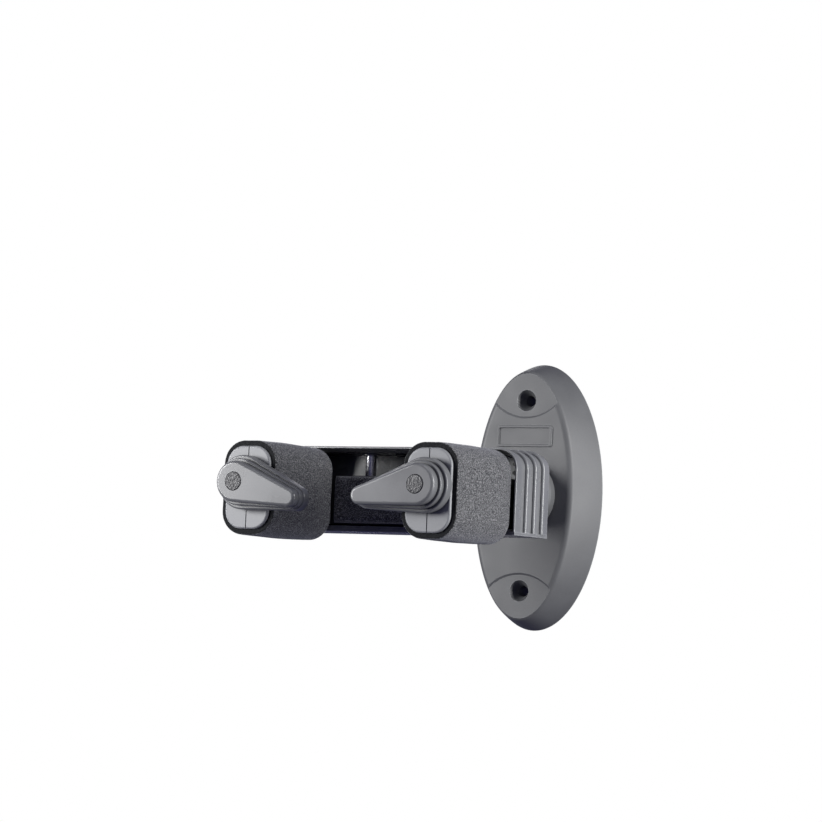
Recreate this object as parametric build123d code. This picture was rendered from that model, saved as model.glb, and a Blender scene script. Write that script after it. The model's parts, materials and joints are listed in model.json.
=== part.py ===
from build123d import *
import os
from math import acos, cos, pi, radians, sin, tan

# Wall guitar hanger whose two levers close across the arms under the guitar's weight.
# Millimetres, +Z up, the wall is the plane Y = 0 and the hanger stands out towards -Y.
# The origin is the centre of the wall plate's back face, and X = 0 is the plane of symmetry.

# --- driving dimensions: wall plate and stem ---
PLATE_HALF_WIDTH = 28.0        # at the wall
PLATE_HALF_HEIGHT = 52.5
PLATE_DEPTH = 14.0             # wall to the flat front face
FACE_HALF_WIDTH = 21.1         # where the front face would meet the rim without rounding
FACE_HALF_HEIGHT = 48.4
FACE_EDGE_R = 2.7
RIM_BULGE = 0.15
FIELD_R = 19.3                 # recessed fields about the wall screws
FIELD_APEX = 31.0
FIELD_STEP = 0.5
FIELD_SLOPE = 0.8
LABEL_SIZE = (24.4, 8.6)       # raised border of a blank name field
LABEL_BORDER = 1.2
LABEL_Z = 23.3
LABEL_PROUD = 0.55
CELL = 10.4                    # pockets in the plate's back
CELL_PITCH = 12.0
CELL_FLOOR_T = 3.5
SCREW_SPACING = 74.6           # between the two wall screws
SCREW_HOLE_R = 2.1
SCREW_SINK_R = 4.2
SCREW_SINK_DEPTH = 3.7
STEM_ROOT_R = 14.3
STEM_R = 10.5
STEM_SCREW_CIRCLE = 7.0
STEM_SCREW_R = 1.45

# --- driving dimensions: hood ---
HOOD_FRONT_Y = -109.9
HOOD_RIB_LENGTHS = (8.1, 5.7, 5.7, 5.8)
HOOD_HALF_WIDTH = 48.5         # at the front rib's lip; each lip behind is a little wider
RIB_STEP = 0.3
RIB_RISE = 0.12
RIB_TAPER = 1.0                # each rib draws in behind its lip
RIB_LIP_R = 0.9
MOUTH_LIP_R = 0.4
HOOD_TOP = 12.2
HOOD_BOTTOM = -19.3
HOOD_CORNER_R = 7.5
HOOD_WALL = 2.0
HOOD_BACK_T = 3.0
MOUTH_FLARE = 1.3
MOUTH_DEPTH = 5.0
FLOOR_EDGE_T = 1.15
COVER_SCREW_R = 0.8
COVER_SCREW_HEAD_R = 1.5

# --- driving dimensions: yoke ---
ARM_X = 37.5                   # arm and pivot centre, either side of the middle
ARM_Z = -6.0
PIVOT_Z = -4.4
FOAM_FRONT_Y = -153.4
FOAM_LENGTH = 39.5
FOAM_WIDTH = 22.3
FOAM_HEIGHT = 34.3
FOAM_R = 8.6
PAD_T = 3.4
CAP_WIDTH = 18.3
CAP_HEIGHT = 30.0
CAP_R = 6.6
CAP_PROUD = 1.1
CAP_T = 3.0
CAP_PEG_R = 1.5
ROD_X = 20.0
ROD_R = 2.0
GUIDE_BUSH_R = 3.2
SPRING_COIL_R = 3.1
SPRING_WIRE_R = 0.4
SPRING_TURNS = 5
SPRING_SEAT_Z = -5.6
ARM_SCREW_R = 1.35
ARM_SCREW_HEAD_R = 2.7

# --- driving dimensions: levers and drive ---
LEVER_FACE_Y = -164.1          # flat front of the levers
LEVER_REACH = 23.3             # pivot to the centre of the rounded tip
LEVER_BIG_R = 7.4
LEVER_TIP_R = 3.25
LEVER_TIERS = (
    # growth of the outline at the big end and at the tip, depth, and front edge radius
    (0.0, 0.0, 3.4, 1.1),
    (1.1, 0.6, 2.2, 0.5),
    (2.4, 1.3, 3.4, 0.6),
)
LEVER_DROPS = {"right": 10.4, "left": 13.6}    # degrees below level when closed
PLUG_R = 3.4
PLUG_PROUD = 0.35
TRAVEL = 8.0                   # carriage stroke
SWING = 90.0                   # lever swing over that stroke
SHAFT_R = 3.0
BUSH_R = 4.5
FRONT_BUSH_LENGTH = 8.0
RUNNING_GAP = 0.05
PRESS_GAP = 0.02
WASHER_R = 5.6
PINION_TEETH = 10
PRESSURE_ANGLE = radians(25)
BACKLASH = 0.12
TOOTH_TIP = 0.7                # rack teeth above and below the pitch line, in modules
TOOTH_FOOT = 1.1
PIN_R = 0.8

# --- worked out ---
PAST = 1.0                     # how far a cutting solid runs past the face that it opens
LEVER_BACK_Y = LEVER_FACE_Y + sum(depth for _, _, depth, _ in LEVER_TIERS)
SHAFT_FRONT_Y = LEVER_FACE_Y + 4.6
HOOD_BACK_Y = HOOD_FRONT_Y + sum(HOOD_RIB_LENGTHS)
INNER_HALF_WIDTH = HOOD_HALF_WIDTH - HOOD_WALL
CEILING_Z = HOOD_TOP - HOOD_WALL
FLOOR_Z = HOOD_BOTTOM + HOOD_WALL
INNER_BACK_Y = HOOD_BACK_Y - HOOD_BACK_T
ROOM_CORNER_R = HOOD_CORNER_R - HOOD_WALL
BAR_BOTTOM = FLOOR_Z + 0.7
BAR_TOP = CEILING_Z - TRAVEL - 0.9
BAR_HALF_WIDTH = INNER_HALF_WIDTH - 0.9
BAR_FRONT_Y = HOOD_FRONT_Y + 0.5
BAR_BACK_Y = INNER_BACK_Y - 0.6
POCKET_FRONT_Y = BAR_FRONT_Y + 7.0
POCKET_BACK_Y = BAR_BACK_Y - 3.8
POCKET_X = 30.8
ROD_Y = (POCKET_FRONT_Y + POCKET_BACK_Y) / 2
ROD_TOP_Z = CEILING_Z + 0.6
FOAM_REAR_Y = FOAM_FRONT_Y + FOAM_LENGTH
CAP_FRONT_Y = FOAM_FRONT_Y - CAP_PROUD
CORE_FRONT_Y = CAP_FRONT_Y + CAP_T
PITCH_R = TRAVEL / radians(SWING)
MODULE = 2 * PITCH_R / PINION_TEETH
TOOTH_PITCH = pi * MODULE
RACK_TIP_X = ARM_X + PITCH_R - TOOTH_TIP * MODULE
RACK_ROOT_X = ARM_X + PITCH_R + TOOTH_FOOT * MODULE
PINION_Y = (POCKET_FRONT_Y + 1.0, POCKET_BACK_Y - 1.0)

SIDES = {"right": 1, "left": -1}
STEM_SCREWS = [
    (STEM_SCREW_CIRCLE * cos(radians(a)), STEM_SCREW_CIRCLE * sin(radians(a)))
    for a in (45, 135, 225, 315)
]
FLOOR_SCREWS = [(x, HOOD_BACK_Y - 1.75) for x in (-42.0, -18.0, 18.0, 42.0)]
RACK_SCREWS = [(side * 44.9, ROD_Y) for side in (1, -1)]
ARM_SCREWS = [(ARM_X - 6.2, -13.2), (ARM_X + 5.6, -13.2)]
CAP_PEGS = (ARM_Z - 10.0, ARM_Z + 11.0)


# --- drawing helpers ---

def front_plane(y):
    """Drawing plane at that Y: X across, Z up, and its normal towards the front."""
    return Plane(origin=(0, y, 0), x_dir=(1, 0, 0), z_dir=(0, -1, 0))


def slab(face, y_start, y_end):
    """A face drawn with X across and Z up, extruded from y_start to y_end along Y."""
    return extrude(front_plane(y_end) * face, y_end - y_start)


def rod(x, z, radius, y_start, y_end):
    """A round bar along Y."""
    return slab(Pos(x, z) * Circle(radius), y_start, y_end)


def post(x, y, radius, z_start, z_end):
    """A round bar along Z."""
    return extrude(Pos(x, y, z_start) * Circle(radius), z_end - z_start)


def block(x_span, y_span, z_span):
    """A box given by its limits along each axis."""
    spans = (x_span, y_span, z_span)
    sizes = [high - low for low, high in spans]
    centre = [(high + low) / 2 for low, high in spans]
    return Pos(*centre) * Box(*sizes)


def group(solids):
    return Compound(children=list(solids))


def on_side(part, side):
    """Parts are drawn on the right; the left one is its mirror image."""
    return part if side > 0 else part.mirror(Plane.YZ)


def edges_at(part, y):
    """Edges that lie in the plane at that Y."""
    near = 0.05
    return part.edges().filter_by_position(Axis.Y, y - near, y + near)


# --- screws ---

def cross_recess(radius, depth):
    """A plus-shaped driver recess, opening upwards from z = 0."""
    arm = Box(radius * 1.2, radius * 0.28, depth)
    return Pos(0, 0, -depth / 2) * (arm + Rot(0, 0, 90) * arm)


def pan_screw(head_r, head_h, shank_r, shank_l):
    """Screw with its head's top at z = 0 and its shank pointing down."""
    head = Pos(0, 0, -head_h / 2) * Cylinder(head_r, head_h)
    head = fillet(head.edges().sort_by(Axis.Z)[-1], head_h * 0.35)
    shank = Pos(0, 0, -head_h - shank_l / 2) * Cylinder(shank_r, shank_l)
    shank = chamfer(shank.edges().sort_by(Axis.Z)[0], shank_r * 0.3)
    return head + shank - cross_recess(head_r, head_h * 0.6)


def flat_screw(head_r, head_h, shank_r, shank_l):
    """Countersunk screw, same placing."""
    head = Pos(0, 0, -head_h / 2) * Cone(shank_r, head_r, head_h)
    shank = Pos(0, 0, -head_h - shank_l / 2) * Cylinder(shank_r, shank_l)
    return head + shank - cross_recess(head_r, head_h * 0.5)


def aim(x, y, z, towards):
    """Place for a screw whose head faces `towards`."""
    turns = {"+Y": Rot(-90, 0, 0), "-Y": Rot(90, 0, 0), "-Z": Rot(180, 0, 0)}
    return Pos(x, y, z) * turns[towards]


# --- wall plate and stem ---

def plate_body():
    """Slightly bulging cone from the wall up to the flat face, with a well rounded edge."""
    sections = []
    for part_way in (0.0, 0.5, 1.0):
        bulge = RIM_BULGE * sin(pi * part_way)
        half_width = PLATE_HALF_WIDTH + (FACE_HALF_WIDTH - PLATE_HALF_WIDTH) * part_way + bulge
        half_height = PLATE_HALF_HEIGHT + (FACE_HALF_HEIGHT - PLATE_HALF_HEIGHT) * part_way + bulge
        sections.append(front_plane(-PLATE_DEPTH * part_way) * Ellipse(half_width, half_height))
    body = loft(sections)
    return fillet(edges_at(body, -PLATE_DEPTH), FACE_EDGE_R)


def screw_field(end):
    """Shallow recess with a sloping edge about one wall screw; end is 1 for the upper one."""
    height = FIELD_STEP + PAST
    top_r = FIELD_R + FIELD_SLOPE * height / FIELD_STEP
    middle = PLATE_DEPTH - FIELD_STEP + height / 2
    return front_plane(0) * Pos(0, end * (FIELD_APEX + FIELD_R), middle) * Cone(FIELD_R, top_r, height)


def label_frame():
    """Raised rounded border of a blank name field above the stem."""
    width, height = LABEL_SIZE
    hole = RectangleRounded(width - 2 * LABEL_BORDER, height - 2 * LABEL_BORDER, 0.5)
    border = RectangleRounded(width, height, 1.2) - hole
    frame = slab(Pos(0, LABEL_Z) * border, -PLATE_DEPTH - LABEL_PROUD, -PLATE_DEPTH + 0.2)
    return fillet(edges_at(frame, -PLATE_DEPTH - LABEL_PROUD), 0.4)


def plate_cells():
    """Pockets in the plate's back, between ribs, clear of the screw bosses and the stem seat."""
    places = [(CELL_PITCH * i, CELL_PITCH * j) for i in (-1, 0, 1) for j in range(-3, 4)]
    cells = [Pos(*place) * RectangleRounded(CELL, CELL, 1.0) for place in places]
    field = (Sketch() + cells) & Ellipse(FACE_HALF_WIDTH - 2.0, FACE_HALF_HEIGHT - 2.5)
    boss_r = 7.0
    keep = [Pos(0, end * SCREW_SPACING / 2) * Circle(boss_r) for end in (1, -1)]
    keep.append(Circle(STEM_ROOT_R - 0.8))
    field = field - (Sketch() + keep)
    smallest = 12
    pockets = [face for face in field.faces() if face.area > smallest]
    return slab(Sketch() + pockets, -PLATE_DEPTH + CELL_FLOOR_T, PAST)


def wall_plate():
    plate = plate_body() - screw_field(1) - screw_field(-1)
    plate = plate + label_frame() - plate_cells()
    sink_middle = PLATE_DEPTH - FIELD_STEP - SCREW_SINK_DEPTH / 2
    for z in (SCREW_SPACING / 2, -SCREW_SPACING / 2):
        cone = Cone(SCREW_HOLE_R, SCREW_SINK_R, SCREW_SINK_DEPTH)
        plate = plate - front_plane(0) * Pos(0, z, sink_middle) * cone
        plate = plate - rod(0, z, SCREW_HOLE_R, -PLATE_DEPTH, PAST)
    for x, z in STEM_SCREWS:
        plate = plate - rod(x, z, STEM_SCREW_R + 0.25, -PLATE_DEPTH - PAST, PAST)
        plate = plate - rod(x, z, 3.6, -5.0, PAST)
    return plate


def stem():
    """Turned neck from the plate to the hood's back, wider at both ends."""
    root_end = PLATE_DEPTH
    tip_end = -HOOD_BACK_Y
    root_t = 3.0
    profile = Polyline(
        (0, root_end),
        (STEM_ROOT_R, root_end),
        (STEM_ROOT_R, root_end + root_t),
        (STEM_R + 0.8, root_end + 12.0),
        (STEM_R, root_end + 20.0),
        (STEM_R, tip_end - 8.0),
        (STEM_R + 1.6, tip_end),
        (0, tip_end),
        close=True,
    )
    half = Plane(origin=(0, 0, 0), x_dir=(1, 0, 0), z_dir=(0, 0, -1)) * make_face(profile)
    neck = revolve(half, Axis.Y, 360)
    neck = fillet(edges_at(neck, -root_end - root_t), 1.2)
    hole_r = STEM_SCREW_R + 0.05
    hole_depth = 12
    for x, z in STEM_SCREWS:
        neck = neck - rod(x, z, hole_r, -root_end - hole_depth, -root_end + PAST)
        neck = neck - rod(x, z, hole_r, -tip_end - PAST, -tip_end + hole_depth)
    return neck


def stem_plate_screws():
    screw = pan_screw(3.2, 2.2, STEM_SCREW_R, 17.0)
    return group(aim(x, -2.8, z, "+Y") * screw for x, z in STEM_SCREWS)


def stem_hood_screws():
    screw = flat_screw(3.0, 1.8, STEM_SCREW_R, 10.0)
    return group(aim(x, INNER_BACK_Y + 0.1, z, "-Y") * screw for x, z in STEM_SCREWS)


# --- hood ---

def hood_outline(draw_in, step):
    """Flat-bottomed section with rounded top corners, of rib number `step`."""
    half_width = HOOD_HALF_WIDTH + RIB_STEP * step - draw_in
    top = HOOD_TOP + RIB_RISE * step - draw_in
    bottom = HOOD_BOTTOM + FLOOR_EDGE_T + 0.05
    shape = Pos(0, (top + bottom) / 2) * Rectangle(2 * half_width, top - bottom)
    return fillet(shape.vertices().group_by(Axis.Y)[-1], HOOD_CORNER_R - draw_in)


def hood_rib(step, y):
    """One pleat: a rounded front lip, and sides that draw in towards the wall."""
    length = HOOD_RIB_LENGTHS[step]
    lip = front_plane(y) * hood_outline(0, step)
    waist = front_plane(y + length) * hood_outline(RIB_TAPER, step)
    rib = loft([lip, waist], ruled=True)
    above_floor = HOOD_BOTTOM + FLOOR_EDGE_T + 0.5
    lip_edges = edges_at(rib, y).filter_by_position(Axis.Z, above_floor, HOOD_TOP + 2)
    return fillet(lip_edges, RIB_LIP_R if step else MOUTH_LIP_R)


def hood_room(gap=0.0, lower=0.0):
    """Section of the room inside the hood, less a gap all round, moved down by `lower`."""
    top = CEILING_Z - gap
    width = 2 * (INNER_HALF_WIDTH - gap)
    shape = Pos(0, (top + HOOD_BOTTOM) / 2 - lower) * Rectangle(width, top - HOOD_BOTTOM)
    return fillet(shape.vertices().group_by(Axis.Y)[-1], ROOM_CORNER_R - gap)


def mouth():
    """Flare that thins the wall towards the hood's front lip."""
    overrun = 0.5
    wide = MOUTH_FLARE * (1 + overrun / MOUTH_DEPTH)
    outer = front_plane(HOOD_FRONT_Y - overrun) * hood_room(gap=-wide)
    inner = front_plane(HOOD_FRONT_Y + MOUTH_DEPTH) * hood_room()
    return loft([outer, inner], ruled=True)


def hood_shell():
    shell = hood_rib(0, HOOD_FRONT_Y)
    y = HOOD_FRONT_Y
    for step, length in enumerate(HOOD_RIB_LENGTHS[:-1], 1):
        y += length
        shell = shell + hood_rib(step, y)
    shell = shell - slab(hood_room(), HOOD_FRONT_Y - PAST, INNER_BACK_Y) - mouth()
    for side in (1, -1):
        shell = shell + post(side * ROD_X, ROD_Y, ROD_R + 1.6, CEILING_Z - 0.6, CEILING_Z + 0.5)
        shell = shell - post(side * ROD_X, ROD_Y, ROD_R, CEILING_Z - PAST, ROD_TOP_Z)
    for x, z in STEM_SCREWS:
        shell = shell - aim(x, INNER_BACK_Y + 0.1, z, "-Y") * Pos(0, 0, -0.9) * Cone(1.6, 3.15, 1.8)
        shell = shell - rod(x, z, 1.6, INNER_BACK_Y, HOOD_BACK_Y + PAST)
    for x, y in FLOOR_SCREWS:
        shell = shell - post(x, y, COVER_SCREW_R + 0.05, HOOD_BOTTOM, HOOD_BOTTOM + 9)
    return shell


def hood_floor():
    """Cover that closes the hood from below; its edge shows as a thin strip."""
    edge = (-HOOD_HALF_WIDTH, HOOD_HALF_WIDTH)
    floor = block(edge, (HOOD_FRONT_Y, HOOD_BACK_Y), (HOOD_BOTTOM, HOOD_BOTTOM + FLOOR_EDGE_T))
    inset = (-INNER_HALF_WIDTH + 0.1, INNER_HALF_WIDTH - 0.1)
    floor = floor + block(inset, (HOOD_FRONT_Y + 0.2, INNER_BACK_Y - 0.1), (HOOD_BOTTOM + 1, FLOOR_Z))
    for side in (1, -1):
        floor = floor - post(side * ROD_X, ROD_Y, ROD_R, HOOD_BOTTOM + 1.0, FLOOR_Z + PAST)
    sink = Rot(180, 0, 0) * Cone(COVER_SCREW_R + 0.1, COVER_SCREW_HEAD_R + 0.1, 0.8)
    for x, y in FLOOR_SCREWS + RACK_SCREWS:
        floor = floor - post(x, y, COVER_SCREW_R + 0.1, HOOD_BOTTOM - PAST, FLOOR_Z + PAST)
        floor = floor - Pos(x, y, HOOD_BOTTOM + 0.4) * sink
    return floor


def cover_screws(places):
    screw = flat_screw(COVER_SCREW_HEAD_R, 0.75, COVER_SCREW_R, 7.0)
    return group(aim(x, y, HOOD_BOTTOM + 0.02, "-Z") * screw for x, y in places)


def rack():
    """Fixed rack beside the right pinion, teeth towards the middle."""
    outer_x = INNER_HALF_WIDTH - 0.15
    y_span = (POCKET_FRONT_Y + 1.4, POCKET_BACK_Y - 1.4)
    body = block((RACK_ROOT_X, outer_x), y_span, (FLOOR_Z + 0.05, CEILING_Z - 2.2))
    half_tip = TOOTH_PITCH / 4 - BACKLASH / 2 - TOOTH_TIP * MODULE * tan(PRESSURE_ANGLE)
    half_root = TOOTH_PITCH / 4 - BACKLASH / 2 + TOOTH_FOOT * MODULE * tan(PRESSURE_ANGLE)
    buried_x = RACK_ROOT_X + 0.3
    for k in range(-2, 4):
        z = PIVOT_Z + (k + 0.5) * TOOTH_PITCH
        tooth = Polyline(
            (buried_x, z - half_root),
            (RACK_ROOT_X, z - half_root),
            (RACK_TIP_X, z - half_tip),
            (RACK_TIP_X, z + half_tip),
            (RACK_ROOT_X, z + half_root),
            (buried_x, z + half_root),
            close=True,
        )
        body = body + slab(make_face(tooth), *y_span)
    body = body & slab(hood_room(gap=0.1), *y_span)
    return body - post(RACK_SCREWS[0][0], ROD_Y, COVER_SCREW_R + 0.05, FLOOR_Z - PAST, FLOOR_Z + 7)


def guide_rod():
    return post(ROD_X, ROD_Y, ROD_R, HOOD_BOTTOM + 1.0, ROD_TOP_Z)


def return_spring():
    """Compression spring round the guide rod, pushing the yoke up."""
    end_gap = 0.05
    length = SPRING_SEAT_Z - FLOOR_Z - 2 * SPRING_WIRE_R - 2 * end_gap
    path = Helix(pitch=length / SPRING_TURNS, height=length, radius=SPRING_COIL_R)
    wire = sweep(Plane(path @ 0, z_dir=path % 0) * Circle(SPRING_WIRE_R), path)
    return Pos(ROD_X, ROD_Y, FLOOR_Z + SPRING_WIRE_R + end_gap) * wire


def stop_buffers():
    """Thin rubber discs that the yoke meets at either end of its stroke."""
    radius = 3.0
    low = [post(side * 6, ROD_Y, radius, FLOOR_Z, BAR_BOTTOM - 0.1) for side in (1, -1)]
    high = [post(side * 6, ROD_Y, radius, BAR_TOP + TRAVEL + 0.1, CEILING_Z) for side in (1, -1)]
    return group(low + high)


# --- sliding yoke ---

def yoke_crossbar():
    bar = block((-BAR_HALF_WIDTH, BAR_HALF_WIDTH), (BAR_FRONT_Y, BAR_BACK_Y), (BAR_BOTTOM, BAR_TOP))
    bar = bar & slab(hood_room(gap=0.5, lower=TRAVEL), BAR_FRONT_Y, BAR_BACK_Y)
    through_z = (BAR_BOTTOM - PAST, BAR_TOP + PAST)
    for side in (1, -1):
        pocket_x = sorted((side * POCKET_X, side * (BAR_HALF_WIDTH + 5)))
        bar = bar - block(pocket_x, (POCKET_FRONT_Y, POCKET_BACK_Y), through_z)
        bar = bar - rod(side * ARM_X, PIVOT_Z, BUSH_R + PRESS_GAP, BAR_FRONT_Y - PAST, BAR_BACK_Y + PAST)
        bar = bar - post(side * ROD_X, ROD_Y, GUIDE_BUSH_R + PRESS_GAP, *through_z)
        bar = bar - post(side * ROD_X, ROD_Y, SPRING_COIL_R + 1.1, BAR_BOTTOM - PAST, SPRING_SEAT_Z)
        relief_x = sorted((side * 3.0, side * 14.0))
        bar = bar - block(relief_x, (BAR_FRONT_Y + 5, BAR_BACK_Y + PAST), (BAR_BOTTOM + 3, BAR_TOP - 3))
        for x, z in ARM_SCREWS:
            bar = bar - rod(side * x, z, ARM_SCREW_R + 0.25, BAR_FRONT_Y - PAST, POCKET_FRONT_Y + PAST)
            head_room_r = ARM_SCREW_HEAD_R + 0.3
            bar = bar - rod(side * x, z, head_room_r, POCKET_FRONT_Y - 2.4, POCKET_FRONT_Y + PAST)
    return bar


def rounded(width, height, radius, x=ARM_X, z=ARM_Z):
    return Pos(x, z) * RectangleRounded(width, height, radius)


def arm_core():
    """Hollow arm inside the foam, with a smaller root that is screwed to the crossbar."""
    core = slab(rounded(CAP_WIDTH - 0.4, CAP_HEIGHT - 0.4, CAP_R - 0.2), CORE_FRONT_Y, FOAM_REAR_Y)
    root = block((ARM_X - 8.5, BAR_HALF_WIDTH), (FOAM_REAR_Y - PAST, BAR_FRONT_Y), (BAR_BOTTOM, BAR_TOP))
    core = core + (root & slab(hood_room(gap=0.5, lower=TRAVEL), FOAM_REAR_Y - PAST, BAR_FRONT_Y))
    core = core - rod(ARM_X, PIVOT_Z, BUSH_R + PRESS_GAP, CORE_FRONT_Y - PAST, BAR_FRONT_Y + PAST)
    core = core - rod(ARM_X, PIVOT_Z, 6.2, CORE_FRONT_Y + 9, FOAM_REAR_Y - 3)
    for x, z in ARM_SCREWS:
        core = core - rod(x, z, ARM_SCREW_R + 0.05, BAR_FRONT_Y - 12, BAR_FRONT_Y + PAST)
    for z in CAP_PEGS:
        core = core - rod(ARM_X, z, CAP_PEG_R + 0.05, CORE_FRONT_Y - PAST, CORE_FRONT_Y + 5)
    return core


def end_cap():
    """Cap in the foam's front end, split line down its middle."""
    cap = slab(rounded(CAP_WIDTH, CAP_HEIGHT, CAP_R), CAP_FRONT_Y, CORE_FRONT_Y)
    cap = fillet(edges_at(cap, CAP_FRONT_Y), 0.7)
    for z in CAP_PEGS:
        cap = cap + rod(ARM_X, z, CAP_PEG_R, CORE_FRONT_Y - 0.5, CORE_FRONT_Y + 4.5)
    half_line = 0.2
    line_y = (CAP_FRONT_Y - PAST, CAP_FRONT_Y + 0.45)
    line = block((ARM_X - half_line, ARM_X + half_line), line_y, (ARM_Z - CAP_HEIGHT, ARM_Z + CAP_HEIGHT))
    return cap - line - rod(ARM_X, PIVOT_Z, SHAFT_R + 0.4, CAP_FRONT_Y - PAST, CORE_FRONT_Y + 6)


def foam_sleeve():
    outer = slab(rounded(FOAM_WIDTH, FOAM_HEIGHT, FOAM_R), FOAM_FRONT_Y, FOAM_REAR_Y)
    inner = rounded(CAP_WIDTH + 0.2, CAP_HEIGHT + 0.2, CAP_R + 0.1)
    return outer - slab(inner, FOAM_FRONT_Y - PAST, FOAM_REAR_Y + PAST)


def yoke_pad():
    """Foam pad across the crossbar, between the arms."""
    half_width = ARM_X - 10.5
    y_span = (BAR_FRONT_Y - PAD_T, BAR_FRONT_Y)
    pad = block((-half_width, half_width), y_span, (BAR_BOTTOM + 0.3, BAR_TOP - 0.2))
    return fillet(pad.edges().filter_by(Axis.X).group_by(Axis.Y)[0], 1.5)


def bush(y_start, y_end):
    """Plain bearing round a lever's shaft."""
    outer = rod(ARM_X, PIVOT_Z, BUSH_R, y_start, y_end)
    return outer - rod(ARM_X, PIVOT_Z, SHAFT_R + RUNNING_GAP, y_start - PAST, y_end + PAST)


def guide_bush():
    sleeve = post(ROD_X, ROD_Y, GUIDE_BUSH_R, SPRING_SEAT_Z, BAR_TOP)
    return sleeve - post(ROD_X, ROD_Y, ROD_R + RUNNING_GAP, SPRING_SEAT_Z - PAST, BAR_TOP + PAST)


def thrust_washer():
    y_start = LEVER_BACK_Y + 0.08
    washer = rod(ARM_X, PIVOT_Z, WASHER_R, y_start, CAP_FRONT_Y)
    return washer - rod(ARM_X, PIVOT_Z, SHAFT_R + RUNNING_GAP, y_start - PAST, CAP_FRONT_Y + PAST)


def arm_screws():
    screw = pan_screw(ARM_SCREW_HEAD_R, 2.0, ARM_SCREW_R, 14.0)
    places = [(side * x, z) for side in (1, -1) for x, z in ARM_SCREWS]
    return group(aim(x, POCKET_FRONT_Y - 0.4, z, "+Y") * screw for x, z in places)


# --- levers and their shafts ---

def teardrop(big_r, tip_r, reach, drop):
    """Two circles joined by their outer tangents; the tip points inwards and `drop` degrees down."""
    heading = radians(180 + drop)
    spread = acos((big_r - tip_r) / reach)
    centre = (0, 0)
    tip = (reach * cos(heading), reach * sin(heading))

    def at(middle, radius, turn):
        return (middle[0] + radius * cos(heading + turn), middle[1] + radius * sin(heading + turn))

    outline = [
        ThreePointArc(at(centre, big_r, spread), at(centre, big_r, pi), at(centre, big_r, -spread)),
        Line(at(centre, big_r, -spread), at(tip, tip_r, -spread)),
        ThreePointArc(at(tip, tip_r, -spread), at(tip, tip_r, 0), at(tip, tip_r, spread)),
        Line(at(tip, tip_r, spread), at(centre, big_r, spread)),
    ]
    return make_face(Wire(outline))


def shaft_flat(grow):
    """Section of the shaft's end: a circle with one flat."""
    flat_depth = 0.8
    return Circle(SHAFT_R + grow) & Pos(-flat_depth, 0) * Rectangle(2 * (SHAFT_R + grow), 3 * SHAFT_R)


def lever(drop):
    """Stepped teardrop; the shaft's flatted end is clamped in it by a screw under the plug."""
    body = None
    y = LEVER_FACE_Y
    for grow_big, grow_tip, depth, edge_r in LEVER_TIERS:
        outline = teardrop(LEVER_BIG_R + grow_big, LEVER_TIP_R + grow_tip, LEVER_REACH - 0.4 * grow_tip, drop)
        tier = slab(Pos(ARM_X, PIVOT_Z) * outline, y, y + depth)
        tier = fillet(edges_at(tier, y), edge_r)
        body = tier if body is None else body + tier
        y += depth
    body = body - rod(ARM_X, PIVOT_Z, PLUG_R + RUNNING_GAP, LEVER_FACE_Y - PAST, LEVER_FACE_Y + 3.4)
    body = body - rod(ARM_X, PIVOT_Z, 1.6, LEVER_FACE_Y, LEVER_BACK_Y)
    return body - slab(Pos(ARM_X, PIVOT_Z) * shaft_flat(0.03), SHAFT_FRONT_Y - 0.2, LEVER_BACK_Y + PAST)


def lever_plug():
    """Disc over the lever's screw, a little proud of the face."""
    plug = rod(ARM_X, PIVOT_Z, PLUG_R, LEVER_FACE_Y - PLUG_PROUD, LEVER_FACE_Y + 1.2)
    return fillet(edges_at(plug, LEVER_FACE_Y - PLUG_PROUD), 0.3)


def lever_screw():
    screw = pan_screw(2.7, 1.7, 1.25, 9.0)
    return aim(ARM_X, LEVER_FACE_Y + 1.65, PIVOT_Z, "-Y") * screw


def shaft():
    back_y = BAR_BACK_Y - 0.2
    flat_end = LEVER_BACK_Y + PRESS_GAP
    axle = rod(ARM_X, PIVOT_Z, SHAFT_R, flat_end, back_y)
    axle = axle + slab(Pos(ARM_X, PIVOT_Z) * shaft_flat(0), SHAFT_FRONT_Y, flat_end + 1)
    axle = axle - rod(ARM_X, PIVOT_Z, 1.25, SHAFT_FRONT_Y - PAST, SHAFT_FRONT_Y + 9)
    return axle - pinion_pin()


def pinion_pin():
    """Round pin along Z through the pinion's hub and the shaft."""
    half_length = 3.9
    return post(ARM_X, PINION_Y[1] - 1.6, PIN_R, PIVOT_Z - half_length, PIVOT_Z + half_length)


def tooth_point(radius, flank):
    """Point on one involute flank of the tooth that lies along +X."""
    base_r = PITCH_R * cos(PRESSURE_ANGLE)
    half_pitch = (TOOTH_PITCH / 2 - BACKLASH) / (2 * PITCH_R)
    slope = acos(min(base_r / radius, 1))
    angle = half_pitch + (tan(PRESSURE_ANGLE) - PRESSURE_ANGLE) - (tan(slope) - slope)
    return (radius * cos(angle), flank * radius * sin(angle))


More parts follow.
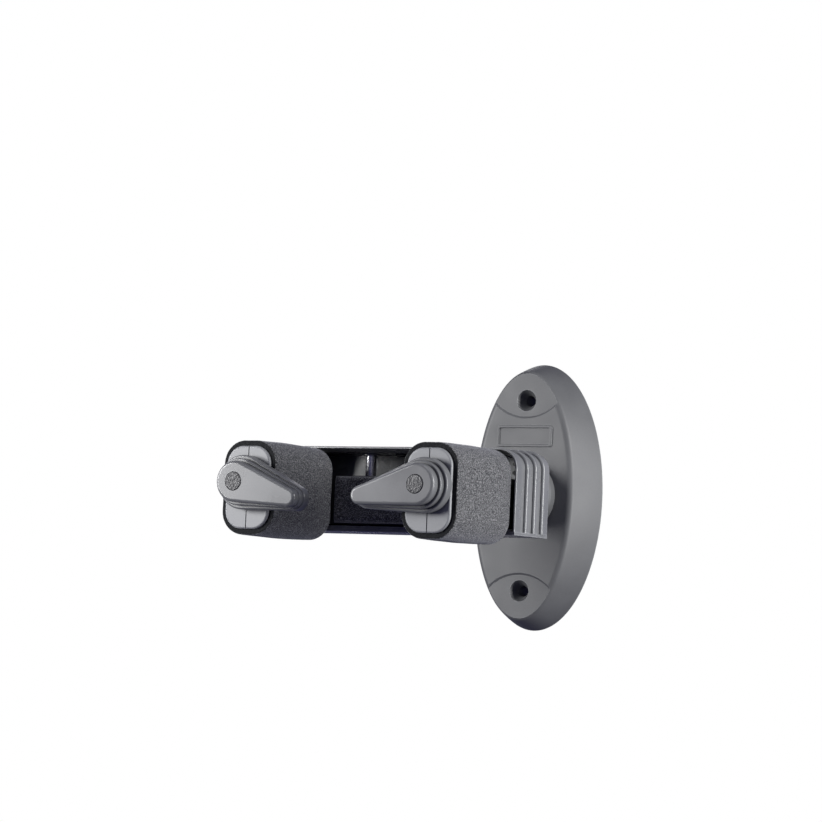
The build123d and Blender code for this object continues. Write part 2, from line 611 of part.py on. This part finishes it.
def pinion():
    """Ten-tooth involute pinion; one tooth points at the rack when the levers are closed."""
    base_r = PITCH_R * cos(PRESSURE_ANGLE)
    root_r = PITCH_R - 1.05 * MODULE
    tip_r = PITCH_R + 0.8 * MODULE
    radii = (base_r, (base_r + tip_r) / 2, tip_r)
    upper = [tooth_point(radius, 1) for radius in radii]
    lower = [tooth_point(radius, -1) for radius in radii]
    foot = (root_r - 0.3) / base_r
    upper_foot = (upper[0][0] * foot, upper[0][1] * foot)
    lower_foot = (lower[0][0] * foot, lower[0][1] * foot)
    tooth = make_face(Wire([
        Line(upper_foot, upper[0]),
        ThreePointArc(*upper),
        Line(upper[2], lower[2]),
        ThreePointArc(*reversed(lower)),
        Line(lower[0], lower_foot),
        Line(lower_foot, upper_foot),
    ]))
    outline = Circle(root_r)
    for k in range(PINION_TEETH):
        outline = outline + Rot(0, 0, k * 360 / PINION_TEETH) * tooth
    bore_r = SHAFT_R + 0.01
    gear = slab(Pos(ARM_X, PIVOT_Z) * (outline - Circle(bore_r)), *PINION_Y)
    hub = slab(Pos(ARM_X, PIVOT_Z) * (Circle(root_r) - Circle(bore_r)), PINION_Y[1] - 3.2, PINION_Y[1])
    return gear + hub - pinion_pin()


# --- writing the nodes ---

def build():
    nodes = {
        "wall_plate": wall_plate(),
        "stem": stem(),
        "stem_plate_screws": stem_plate_screws(),
        "stem_hood_screws": stem_hood_screws(),
        "hood_shell": hood_shell(),
        "hood_floor": hood_floor(),
        "floor_screws": cover_screws(FLOOR_SCREWS),
        "rack_screws": cover_screws(RACK_SCREWS),
        "stop_buffers": stop_buffers(),
        "yoke_crossbar": yoke_crossbar(),
        "yoke_pad": yoke_pad(),
        "arm_screws": arm_screws(),
    }
    sided = {
        "rack": rack(),
        "guide_rod": guide_rod(),
        "spring": return_spring(),
        "guide_bush": guide_bush(),
        "arm_core": arm_core(),
        "foam_sleeve": foam_sleeve(),
        "end_cap": end_cap(),
        "front_bush": bush(CORE_FRONT_Y, CORE_FRONT_Y + FRONT_BUSH_LENGTH),
        "middle_bush": bush(BAR_FRONT_Y, POCKET_FRONT_Y),
        "rear_bush": bush(POCKET_BACK_Y, BAR_BACK_Y),
        "thrust_washer": thrust_washer(),
        "shaft": shaft(),
        "pinion": pinion(),
        "pinion_pin": pinion_pin(),
        "lever_plug": lever_plug(),
        "lever_screw": lever_screw(),
    }
    for name, side in SIDES.items():
        for piece, shape in sided.items():
            nodes[f"{piece}_{name}"] = on_side(shape, side)
        nodes[f"lever_{name}"] = on_side(lever(LEVER_DROPS[name]), side)
    return nodes


os.makedirs("parts", exist_ok=True)
for node, shape in build().items():
    export_step(shape, f"parts/{node}.step")
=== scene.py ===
import json
import math

import bpy
from mathutils import Matrix, Vector, noise


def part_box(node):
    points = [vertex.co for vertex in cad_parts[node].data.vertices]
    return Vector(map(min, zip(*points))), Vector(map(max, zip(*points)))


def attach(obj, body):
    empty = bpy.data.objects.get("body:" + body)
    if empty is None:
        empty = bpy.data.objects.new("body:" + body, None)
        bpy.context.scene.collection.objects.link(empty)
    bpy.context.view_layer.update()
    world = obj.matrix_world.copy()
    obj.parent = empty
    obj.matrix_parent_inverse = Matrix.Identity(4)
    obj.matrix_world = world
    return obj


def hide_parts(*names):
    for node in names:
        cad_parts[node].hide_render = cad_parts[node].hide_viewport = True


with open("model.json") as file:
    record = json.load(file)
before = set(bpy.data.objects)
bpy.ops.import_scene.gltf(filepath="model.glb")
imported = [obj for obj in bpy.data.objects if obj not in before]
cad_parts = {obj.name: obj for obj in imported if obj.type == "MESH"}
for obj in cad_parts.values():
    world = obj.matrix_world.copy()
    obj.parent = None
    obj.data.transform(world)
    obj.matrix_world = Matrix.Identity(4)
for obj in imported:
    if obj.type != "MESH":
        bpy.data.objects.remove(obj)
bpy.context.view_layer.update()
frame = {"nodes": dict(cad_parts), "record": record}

# Wall guitar hanger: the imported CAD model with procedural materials, and meshes for the foam and the
# stippled lever plugs.
# Metres; +Z up, the wall is the plane y = 0, and the hanger stands out towards -y.

NODES = frame["nodes"]
MM = 0.001
SIDES = ("right", "left")


# --- node helpers ---

BEVEL_SAMPLES = 4
EDGE_FLAT, EDGE_SHARP = 0.995, 0.80         # agreement of the bevelled and the true normal
CREVICE_SAMPLES = 6
CREVICE_OPEN, CREVICE_DEEP = 0.92, 0.30     # how open the surroundings are


class Surface:
    """A material under construction: its tree, its shader and short calls to add nodes."""

    def __init__(self, name):
        self.material = bpy.data.materials.new(name)
        self.material.use_nodes = True
        self.tree = self.material.node_tree
        self.shader = self.tree.nodes["Principled BSDF"]
        self.place = self.add("ShaderNodeTexCoord").outputs["Object"]

    def add(self, kind, inputs=None, **settings):
        """A new node with its settings; inputs are values or other nodes' outputs."""
        node = self.tree.nodes.new(kind)
        for key, value in settings.items():
            setattr(node, key, value)
        for socket, value in (inputs or {}).items():
            self.feed(node, socket, value)
        return node

    def feed(self, node, socket, value):
        """Links another node's output to an input, or gives the input a fixed value."""
        if isinstance(value, bpy.types.NodeSocket):
            self.tree.links.new(value, node.inputs[socket])
        else:
            node.inputs[socket].default_value = value

    def noise(self, size, detail, stretch=None):
        """Noise with features about `size` metres across."""
        place = self.place
        if stretch:
            place = self.add("ShaderNodeMapping", {"Vector": place, "Scale": stretch}).outputs[0]
        inputs = {"Vector": place, "Scale": 1 / size, "Detail": detail}
        return self.add("ShaderNodeTexNoise", inputs).outputs["Fac"]

    def cells(self, size):
        """Distance to the middle of the nearest of many random cells about `size` across."""
        inputs = {"Vector": self.place, "Scale": 1 / size}
        return self.add("ShaderNodeTexVoronoi", inputs).outputs["Distance"]

    def ramp(self, value, low, high, start=0.0, end=1.0):
        """start where value is low or beyond, end where it is high or beyond, even in between."""
        node = self.add("ShaderNodeMapRange", {"Value": value, "From Min": low, "From Max": high,
                                               "To Min": start, "To Max": end})
        return node.outputs[0]

    def maths(self, operation, first, second):
        """The result of a Math node."""
        return self.add("ShaderNodeMath", {0: first, 1: second}, operation=operation).outputs[0]

    def blend(self, factor, first, second):
        """The first colour where factor is 0, the second where it is 1."""
        node = self.add("ShaderNodeMix", data_type="RGBA")
        self.feed(node, 0, factor)
        self.feed(node, 6, first)
        self.feed(node, 7, second)
        return node.outputs[2]

    def edges(self, radius):
        """Near 1 where the surface turns sharply within `radius`, 0 on flat stretches."""
        soft = self.add("ShaderNodeBevel", {"Radius": radius}, samples=BEVEL_SAMPLES).outputs[0]
        flat = self.add("ShaderNodeNewGeometry").outputs["Normal"]
        agree = self.add("ShaderNodeVectorMath", {0: soft, 1: flat}, operation="DOT_PRODUCT")
        return self.ramp(agree.outputs["Value"], EDGE_FLAT, EDGE_SHARP)

    def crevice(self, reach):
        """0 in the open, near 1 deep in grooves and corners within `reach`."""
        node = self.add("ShaderNodeAmbientOcclusion", {"Distance": reach}, samples=CREVICE_SAMPLES)
        return self.ramp(node.outputs["AO"], CREVICE_OPEN, CREVICE_DEEP)

    def bump(self, *layers):
        """layers are (height, strength, distance), stacked."""
        normal = None
        for height, strength, distance in layers:
            inputs = {"Height": height, "Strength": strength, "Distance": distance}
            if normal is not None:
                inputs["Normal"] = normal
            normal = self.add("ShaderNodeBump", inputs).outputs[0]
        self.feed(self.shader, "Normal", normal)

    def set(self, **values):
        """Sets the shader's inputs, written with _ for a space, and gives back the material."""
        for socket, value in values.items():
            self.feed(self.shader, socket.replace("_", " "), value)
        return self.material


def grey(level, tint=0.0):
    """A grey of that linear level, bluer with a positive tint."""
    return (level * (1 - tint), level, level * (1 + tint), 1.0)


# --- materials ---

GRAIN_SIZE = 0.35 * MM
CLOUD_SIZE = 14 * MM
CLOUD_DEPTH = 0.05 * MM
PATCH_SIZE = 2.5 * MM
CREVICE_REACH = 2 * MM
TINT = 0.02


def moulded(name, level, rough, rub_and_highlight=1.5, depth=0.02 * MM, rub_and_highlight_reach=0.5 * MM, crevice_shade=0.75):
    """Moulded plastic: cloudy tone, fine eroded grain, lighter edges (rubbed wear and painted highlight)
    and painted shade in crevices.

    rub_and_highlight is how much lighter those edges are, rub_and_highlight_reach how far they reach, and
    crevice_shade how dark the painted shade in crevices is.
    """
    s = Surface(name)
    cloud = s.noise(CLOUD_SIZE, detail=4)
    speckle = s.noise(GRAIN_SIZE, detail=1)
    tone = s.blend(s.ramp(cloud, 0.3, 0.7), grey(level * 0.90, TINT), grey(level * 1.08, TINT))
    tone = s.blend(s.ramp(speckle, 0.35, 0.7, 0.0, 0.22), tone, grey(level * 0.62, TINT))
    edge = s.edges(rub_and_highlight_reach)
    # Edges lightened in noisy patches: partly rubbed wear, partly a painted highlight along the edges.
    rub_and_highlight_mask = s.maths("MULTIPLY", edge, s.ramp(s.noise(PATCH_SIZE, detail=3), 0.25, 0.6))
    tone = s.blend(s.maths("MULTIPLY", rub_and_highlight_mask, 0.7), tone, grey(level * rub_and_highlight, TINT))
    # Crevices and corners darkened towards a bluish near-black: painted shade where light does not reach.
    tone = s.blend(s.maths("MULTIPLY", s.crevice(CREVICE_REACH), crevice_shade), tone, grey(level * 0.10, 0.15))
    smooth = s.ramp(cloud, 0.3, 0.7, rough - 0.04, rough + 0.06)
    smooth = s.maths("SUBTRACT", smooth, s.maths("MULTIPLY", edge, 0.04))
    s.bump((speckle, 0.5, depth), (cloud, 0.3, CLOUD_DEPTH))
    return s.set(Base_Color=tone, Roughness=smooth)


def stippled(name, level):
    """Plastic with a coarse random stipple."""
    s = Surface(name)
    pits = s.cells(0.55 * MM)
    tone = s.blend(s.ramp(pits, 0.15, 0.6), grey(level * 0.65), grey(level * 1.5))
    s.bump((pits, 0.9, 0.16 * MM))
    return s.set(Base_Color=tone, Roughness=s.ramp(pits, 0.1, 0.6, 0.62, 0.42))


def foam_skin(name, level):
    """Closed-cell foam with a fine leathery grain: pale crests and dark pores."""
    s = Surface(name)
    pebbles = s.cells(0.56 * MM)
    fine = s.noise(0.36 * MM, detail=1)
    cloud = s.noise(16 * MM, detail=2)
    tone = s.blend(s.ramp(cloud, 0.3, 0.7), grey(level * 0.95, 0.03), grey(level * 1.05, 0.03))
    tone = s.blend(s.ramp(pebbles, 0.38, 0.62, 0.0, 0.85), tone, grey(level * 0.12, 0.05))
    tone = s.blend(s.ramp(fine, 0.50, 0.62, 0.0, 0.95), tone, grey(level * 5.0, 0.0))
    s.bump((pebbles, 0.9, -0.14 * MM), (fine, 0.8, 0.10 * MM))
    s.set(Sheen_Weight=0.25, Sheen_Roughness=0.5, Sheen_Tint=(0.8, 0.82, 0.9, 1.0), Specular_IOR_Level=0.3)
    return s.set(Base_Color=tone, Roughness=s.ramp(fine, 0.3, 0.7, 0.75, 0.95))


def cut_foam(name, level):
    """Foam's cut end: darker, with open cells."""
    s = Surface(name)
    cells = s.cells(0.42 * MM)
    tone = s.blend(s.ramp(cells, 0.1, 0.6), grey(level * 0.4, 0.06), grey(level * 1.7, 0.06))
    s.bump((cells, 0.9, 0.12 * MM))
    return s.set(Base_Color=tone, Roughness=s.ramp(cells, 0.1, 0.6, 0.98, 0.85), Specular_IOR_Level=0.2)


def metal(name, colour, rough, lines=(1, 1, 1)):
    """Turned, plated or sintered metal with faint lines along the stretched axes."""
    s = Surface(name)
    scratch = s.noise(0.25 * MM, detail=3, stretch=lines)
    stain = s.noise(4 * MM, detail=3)
    dark = tuple(0.72 * c for c in colour) + (1.0,)
    tone = s.blend(s.ramp(stain, 0.35, 0.7), tuple(colour) + (1.0,), dark)
    s.bump((scratch, 0.35, 0.01 * MM))
    polish = s.ramp(scratch, 0.3, 0.7, rough - 0.06, rough + 0.1)
    return s.set(Base_Color=tone, Metallic=1.0, Roughness=polish)


# Darker crevices on these plastics are painted shade; their lighter edges are part wear, part painted
# highlight.
PLATE = moulded("plate_plastic", 0.094, 0.52, rub_and_highlight=2.2, rub_and_highlight_reach=0.7 * MM, crevice_shade=0.2)
HOOD = moulded("hood_plastic", 0.158, 0.26, rub_and_highlight=2.4, rub_and_highlight_reach=0.8 * MM, crevice_shade=0.4)
LEVER = moulded("lever_plastic", 0.138, 0.30, rub_and_highlight=1.8, depth=0.007 * MM, crevice_shade=0.9)
CAP = moulded("cap_plastic", 0.26, 0.45, rub_and_highlight=1.25, crevice_shade=0.5)
PLUG = stippled("plug_stipple", 0.055)
FOAM = foam_skin("foam_skin", 0.044)
FOAM_CUT = cut_foam("foam_cut", 0.011)
CORE = moulded("core_plastic", 0.02, 0.5, rub_and_highlight=1.6)
# Near-black partly stands for the shade inside the gap where this part shows: painted shade.
GEAR = moulded("gear_plastic", 0.03, 0.4, rub_and_highlight=1.6)
RUBBER = moulded("rubber", 0.03, 0.8, rub_and_highlight=1.2)
STEEL = metal("steel", (0.56, 0.56, 0.58), 0.26, lines=(1, 12, 1))
SCREW = metal("zinc_screw", (0.62, 0.62, 0.60), 0.32)
BRONZE = metal("bronze", (0.46, 0.30, 0.16), 0.45)

FINISHES = {
    "plate_plastic": PLATE,
    "hood_plastic": HOOD,
    "lever_plastic": LEVER,
    "plug_plastic": PLUG,
    "cap_plastic": CAP,
    "foam": FOAM,
    "core_plastic": CORE,
    "steel": STEEL,
    "zinc_screw": SCREW,
    "gear_plastic": GEAR,
    "bronze": BRONZE,
    "rubber": RUBBER,
}


def dress_nodes():
    """Gives each CAD node the material of its record slot."""
    for row in frame["record"]["subparts"]:
        mesh = NODES[row["node"]].data
        mesh.materials.clear()
        mesh.materials.append(FINISHES[row["material_slot"]])


# --- foam and plug meshes ---

def mesh_piece(name, verts, faces, body, slot, materials, *replaced):
    """A new piece from points and faces, riding a body in place of CAD nodes."""
    mesh = bpy.data.meshes.new(name)
    mesh.from_pydata(verts, [], faces)
    mesh.validate()
    for material in materials:
        mesh.materials.append(material)
    for polygon in mesh.polygons:
        polygon.use_smooth = True
    piece = bpy.data.objects.new(name, mesh)
    bpy.context.scene.collection.objects.link(piece)
    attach(piece, body)
    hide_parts(*replaced)
    return piece


def rounded_loop(half_x, half_z, radius, count):
    """Evenly spaced (x, z, normal x, normal z) round a rectangle with rounded corners."""
    straight_x, straight_z = 2 * (half_x - radius), 2 * (half_z - radius)
    quarter = radius * math.pi / 2
    runs = (straight_z, quarter, straight_x, quarter) * 2
    total = sum(runs)
    corners = ((1, 1), (-1, 1), (-1, -1), (1, -1))
    points = []
    for i in range(count):
        along = total * i / count
        for k, run in enumerate(runs):
            if along < run:
                break
            along -= run
        side, turn = k // 2, math.pi / 2 * (k // 2)
        sx, sz = corners[side]
        centre = (sx * (half_x - radius), sz * (half_z - radius))
        if k % 2:
            angle = turn + along / radius
            nx, nz = math.cos(angle), math.sin(angle)
            points.append((centre[0] + radius * nx, centre[1] + radius * nz, nx, nz))
        else:
            nx, nz = math.cos(turn), math.sin(turn)
            tx, tz = -nz, nx
            back = run - along
            x, z = centre[0] + radius * nx - tx * back, centre[1] + radius * nz - tz * back
            points.append((x, z, nx, nz))
    return points


FOAM_WALL = 2.0 * MM
FOAM_EDGE_R = 0.55 * MM
FOAM_CORNER_R = 8.6 * MM
FOAM_CLEARANCE = 0.1 * MM
FOAM_CROWN = 0.28 * MM
LOOP_POINTS = 300
EDGE_STEPS = 5
SKIN_RINGS = 110
CUT_ROWS = 8
CUT_SHOWS = 2          # rows of the eased edge that show the cut foam
PEBBLE = 0.05 * MM
PEBBLE_SIZE = 0.55 * MM
WAVE = 0.10 * MM
WAVE_SIZE = 11 * MM
WAVE_SHIFT = Vector((7, 3, 1))      # so that the two noises differ


def pebbled(point, normal):
    """A point pushed along its normal by a fine leathery grain and a slow unevenness."""
    grain = noise.noise(point / PEBBLE_SIZE) * PEBBLE
    wave = noise.noise(point / WAVE_SIZE + WAVE_SHIFT) * WAVE
    return point + normal * (grain + wave)


def sleeve_profile(front, back):
    """Closed outline of the tube's wall: (distance in from the skin, y, facing out, facing along y)."""
    length = back - front
    profile = []
    for i in range(EDGE_STEPS + 1):
        turn = math.pi / 2 * i / EDGE_STEPS
        profile.append((FOAM_EDGE_R * (1 - math.sin(turn)), front + FOAM_EDGE_R * (1 - math.cos(turn)),
                        math.sin(turn), -math.cos(turn)))
    for i in range(1, SKIN_RINGS):
        profile.append((0, front + FOAM_EDGE_R + (length - 2 * FOAM_EDGE_R) * i / SKIN_RINGS, 1, 0))
    for i in range(EDGE_STEPS + 1):
        turn = math.pi / 2 * i / EDGE_STEPS
        profile.append((FOAM_EDGE_R * (1 - math.cos(turn)), back - FOAM_EDGE_R * (1 - math.sin(turn)),
                        math.cos(turn), math.sin(turn)))
    cut = [FOAM_EDGE_R + (FOAM_WALL - FOAM_EDGE_R) * i / CUT_ROWS for i in range(1, CUT_ROWS + 1)]
    profile += [(inset, back, 0, 1) for inset in cut]
    profile += [(FOAM_WALL, front, -1, 0)]
    profile += [(inset, front, 0, -1) for inset in reversed(cut[:-1])]
    return profile


def foam_sleeve(side_name):
    """A foam tube stretched on the arm: crowned sides, eased outer edges, and bare cut ends."""
    node = f"foam_sleeve_{side_name}"
    low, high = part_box(node)
    centre = (low + high) / 2
    half_x, half_z = (high.x - low.x) / 2 - FOAM_CLEARANCE, (high.z - low.z) / 2 - FOAM_CLEARANCE
    outer = rounded_loop(half_x, half_z, FOAM_CORNER_R, LOOP_POINTS)
    profile = sleeve_profile(low.y, high.y)
    verts = []
    for inset, y, out, along in profile:
        part_way = min(max((y - low.y) / (high.y - low.y), 0), 1)
        crown = FOAM_CROWN * math.sin(math.pi * part_way) if inset == 0 else 0
        for x, z, nx, nz in outer:
            normal = Vector((out * nx, along, out * nz))
            point = Vector((centre.x + x - nx * (inset - crown), y, centre.z + z - nz * (inset - crown)))
            verts.append(pebbled(point, normal))
    count, rows = len(outer), len(profile)
    faces = []
    for r in range(rows):
        for c in range(count):
            nxt, ahead = (r + 1) % rows, (c + 1) % count
            faces.append((r * count + c, nxt * count + c, nxt * count + ahead, r * count + ahead))
    piece = mesh_piece(node + "_soft", verts, faces, "carriage", "foam", (FOAM, FOAM_CUT), node)
    skin_rows = EDGE_STEPS + SKIN_RINGS + EDGE_STEPS
    for polygon in piece.data.polygons:
        row = polygon.index // count
        polygon.material_index = 0 if CUT_SHOWS <= row < skin_rows - CUT_SHOWS else 1


PAD_COLUMNS = 130
PAD_ROWS = 46
PAD_EDGE = 0.35        # the pad's thickness at its edges, as a share of the CAD solid's
PAD_RISE = 0.60        # and how much more it has in the middle
PAD_FILL_X = 0.995     # the pad's width as a share of the CAD solid's
PAD_FILL_Z = 0.99      # and its height
PAD_END_POWER = 26     # the higher, the tighter the pad's edges curve
PAD_SIDE_POWER = 10


def yoke_pad():
    """The foam strip across the yoke, crowned towards the front with eased edges."""
    low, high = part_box("yoke_pad")
    centre = (low + high) / 2
    columns, rows = PAD_COLUMNS, PAD_ROWS
    half = (high - low) / 2
    thick = high.y - low.y
    verts, faces = [], []
    for layer in (0, 1):
        for j in range(rows + 1):
            for i in range(columns + 1):
                u, v = 2 * i / columns - 1, 2 * j / rows - 1
                ease = (1 - abs(u) ** PAD_END_POWER) ** 0.5 * (1 - abs(v) ** PAD_SIDE_POWER) ** 0.5
                x, z = centre.x + half.x * u * PAD_FILL_X, centre.z + half.z * v * PAD_FILL_Z
                y = high.y if layer else high.y - thick * (PAD_EDGE + PAD_RISE * ease)
                point = Vector((x, y, z))
                verts.append(point if layer else pebbled(point, Vector((0, -1, 0))))
    row = columns + 1
    layer_size = row * (rows + 1)
    for j in range(rows):
        for i in range(columns):
            a = j * row + i
            faces.append((a, a + 1, a + row + 1, a + row))
            b = a + layer_size
            faces.append((b, b + row, b + row + 1, b + 1))
    rim = list(range(row))
    rim += [j * row + columns for j in range(1, rows + 1)]
    rim += [rows * row + i for i in range(columns - 1, -1, -1)]
    rim += [j * row for j in range(rows - 1, 0, -1)]
    for a, b in zip(rim, rim[1:] + rim[:1]):
        faces.append((a, a + layer_size, b + layer_size, b))
    piece = mesh_piece("yoke_pad_soft", verts, faces, "carriage", "foam", (FOAM,), "yoke_pad")


PLUG_GAP = 0.10 * MM
PLUG_DOME = 0.10 * MM
PLUG_EDGE_R = 0.28 * MM
PLUG_SPOKES = 132
PLUG_RINGS = 30
PLUG_EDGE_STEPS = 4
STIPPLE = 0.09 * MM
STIPPLE_SIZE = 0.42 * MM


def lever_plug(side_name):
    """Coarsely stippled, slightly domed disc that hides the lever's screw."""
    node = f"lever_plug_{side_name}"
    low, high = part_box(node)
    centre = (low + high) / 2
    radius = (high.x - low.x) / 2 - PLUG_GAP
    flat_r = radius - PLUG_EDGE_R
    profile = [flat_r * (i / PLUG_RINGS) for i in range(1, PLUG_RINGS + 1)]
    profile = [(r, low.y + PLUG_DOME * (r / radius) ** 2, 1.0) for r in profile]
    face_edge_y = profile[-1][1]
    for i in range(1, PLUG_EDGE_STEPS + 1):
        turn = math.pi / 2 * i / PLUG_EDGE_STEPS
        drop = PLUG_EDGE_R * (1 - math.cos(turn))
        profile.append((radius - PLUG_EDGE_R * (1 - math.sin(turn)), face_edge_y + drop,
                        1 - i / PLUG_EDGE_STEPS))
    profile.append((radius, high.y, 0.0))
    spokes = PLUG_SPOKES
    verts = [Vector((centre.x, low.y + STIPPLE, centre.z))]
    for r, y, rough in profile:
        for k in range(spokes):
            turn = 2 * math.pi * k / spokes
            point = Vector((centre.x + r * math.cos(turn), y, centre.z + r * math.sin(turn)))
            stipple = noise.noise(point / STIPPLE_SIZE) * STIPPLE * rough
            verts.append(point + Vector((0, STIPPLE + stipple, 0)))
    verts.append(Vector((centre.x, high.y, centre.z)))
    last = len(verts) - 1
    outer = 1 + (len(profile) - 1) * spokes
    faces = [(0, 1 + k, 1 + (k + 1) % spokes) for k in range(spokes)]
    for row in range(len(profile) - 1):
        a = 1 + row * spokes
        b = a + spokes
        for k in range(spokes):
            ahead = (k + 1) % spokes
            faces.append((a + k, b + k, b + ahead, a + ahead))
    faces += [(last, outer + (k + 1) % spokes, outer + k) for k in range(spokes)]
    mesh_piece(node + "_stippled", verts, faces, f"{side_name}_lever", "plug_plastic", (PLUG,), node)


# --- stage ---

CAMERA_AZIMUTH = 30.0
CAMERA_ELEVATION = -3.99
CAMERA_ROLL = 2.47
CAMERA_DISTANCE = 1183.3 * MM
CAMERA_AIM = Vector((28.6, -153.4, 21.8)) * MM
CAMERA_LENS = 147.4
CAMERA_SENSOR = 36.0
LIGHTS_AIM = Vector((0, -90, 0)) * MM
FLOOR_Z = -1.4
FLOOR_R = 1.0
FLOOR_SIDES = 96
FLOOR_Y = -0.1
AMBIENT = 0.11
AMBIENT_COLOUR = (0.36, 0.36, 1.0, 1.0)
WHITE = (1.0, 1.0, 1.0, 1.0)


def bearing(azimuth, elevation):
    """Unit vector from the hanger: 0, 0 is straight out from the wall, and azimuth turns towards +x."""
    a, e = math.radians(azimuth), math.radians(elevation)
    return Vector((math.sin(a) * math.cos(e), -math.cos(a) * math.cos(e), math.sin(e)))


def camera():
    """A long lens to the hanger's right and slightly below it, leaning a little."""
    back = bearing(CAMERA_AZIMUTH, CAMERA_ELEVATION)
    data = bpy.data.cameras.new("camera")
    data.lens = CAMERA_LENS
    data.sensor_width = CAMERA_SENSOR
    data.clip_start = 0.05
    data.clip_end = 200.0
    cam = bpy.data.objects.new("camera", data)
    level = (-back).to_track_quat("-Z", "Y").to_matrix().to_4x4()
    lean = Matrix.Rotation(math.radians(CAMERA_ROLL), 4, "Z")
    cam.matrix_world = Matrix.Translation(CAMERA_AIM + back * CAMERA_DISTANCE) @ level @ lean
    bpy.context.scene.collection.objects.link(cam)
    bpy.context.scene.camera = cam


def softbox(name, azimuth, elevation, distance, size, power):
    """A rectangular area light, (width, height), aimed at the hanger."""
    back = bearing(azimuth, elevation)
    data = bpy.data.lights.new(name, "AREA")
    data.shape = "RECTANGLE"
    data.size, data.size_y = size
    data.energy = power
    light = bpy.data.objects.new(name, data)
    light.location = LIGHTS_AIM + back * distance
    light.rotation_euler = (-back).to_track_quat("-Z", "Y").to_euler()
    bpy.context.scene.collection.objects.link(light)


def surroundings():
    """White behind the hanger as the camera sees it, and a dim cool light on the model."""
    world = bpy.data.worlds.new("surroundings")
    world.use_nodes = True
    tree = world.node_tree
    seen = tree.nodes["Background"]
    seen.inputs["Color"].default_value = WHITE
    seen.inputs["Strength"].default_value = 1.0
    lighting = tree.nodes.new("ShaderNodeBackground")
    lighting.inputs["Color"].default_value = AMBIENT_COLOUR
    lighting.inputs["Strength"].default_value = AMBIENT
    path = tree.nodes.new("ShaderNodeLightPath")
    mix = tree.nodes.new("ShaderNodeMixShader")
    tree.links.new(path.outputs["Is Camera Ray"], mix.inputs[0])
    tree.links.new(lighting.outputs[0], mix.inputs[1])
    tree.links.new(seen.outputs[0], mix.inputs[2])
    tree.links.new(mix.outputs[0], tree.nodes["World Output"].inputs["Surface"])
    bpy.context.scene.world = world


def floor():
    """Plain pale round floor well below the hanger."""
    mesh = bpy.data.meshes.new("floor")
    turns = [2 * math.pi * i / FLOOR_SIDES for i in range(FLOOR_SIDES)]
    ring = [(FLOOR_R * math.cos(t), FLOOR_Y + FLOOR_R * math.sin(t), FLOOR_Z) for t in turns]
    mesh.from_pydata(ring, [], [tuple(range(FLOOR_SIDES))])
    piece = bpy.data.objects.new("floor", mesh)
    bpy.context.scene.collection.objects.link(piece)
    s = Surface("floor_paint")
    tone = s.blend(s.ramp(s.noise(0.3, detail=3), 0.3, 0.7), grey(0.80), grey(0.86))
    s.set(Base_Color=tone, Roughness=0.7)
    mesh.materials.append(s.material)


def studio():
    """Soft key from the front left, a tall strip on the right, and a little from front, top and back."""
    surroundings()
    floor()
    softbox("key", -46, 8, 0.75, (0.30, 0.30), 7.4)
    softbox("front", 32, 14, 1.5, (0.5, 0.5), 0.45)
    softbox("side_strip", 92, 9, 0.80, (0.18, 0.6), 11.0)
    softbox("top", 30, 66, 0.9, (0.4, 0.4), 1.3)
    softbox("back", 215, 12, 1.2, (0.6, 0.6), 3.0)
    bpy.context.scene.view_settings.view_transform = "Standard"


dress_nodes()
for side in SIDES:
    foam_sleeve(side)
    lever_plug(side)
yoke_pad()
camera()
studio()
